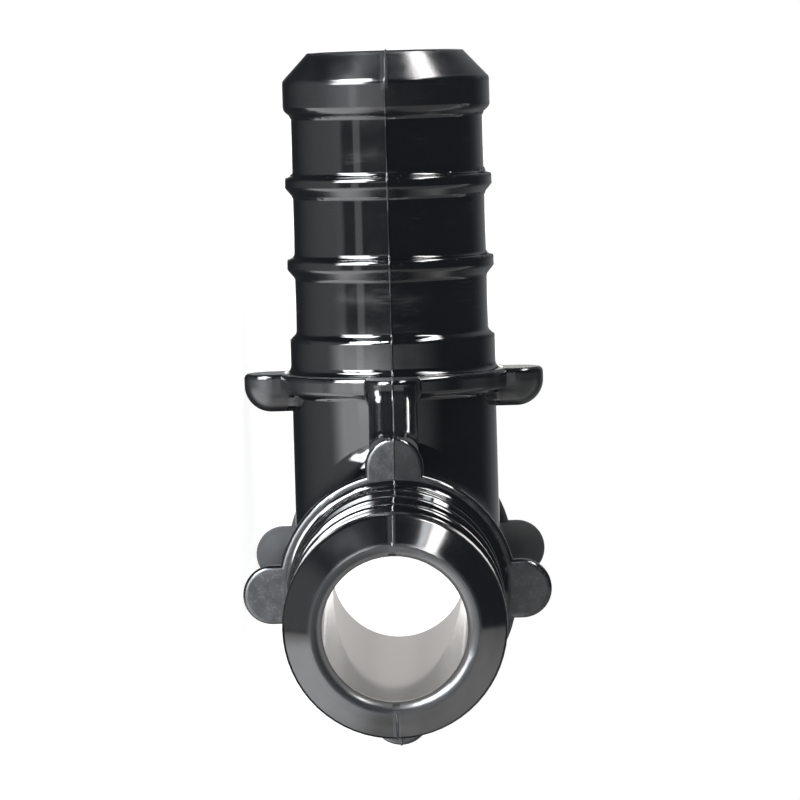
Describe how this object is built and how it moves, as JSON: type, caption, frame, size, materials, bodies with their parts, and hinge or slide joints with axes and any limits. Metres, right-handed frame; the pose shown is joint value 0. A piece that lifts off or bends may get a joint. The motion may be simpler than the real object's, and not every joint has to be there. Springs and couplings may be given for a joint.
{
  "type": "pipe tee",
  "caption": "Moulded plastic insert tee for flexible water tube: equal ribbed ends with stop collars, held by crimp rings.",
  "frame": {"origin": "where the run's and the branch's waterway axes cross", "axes": "+Y along the run, +X along the branch, +Z square to the tee's plane; the tee lies flat on the ears that point down"},
  "size_m": [0.0415, 0.0644, 0.0186],
  "materials": {
    "moulded_plastic": "glossy moulded, black"
  },
  "bodies": {
    "root": {"tee_body": "moulded_plastic"}
  },
  "joints": []
}
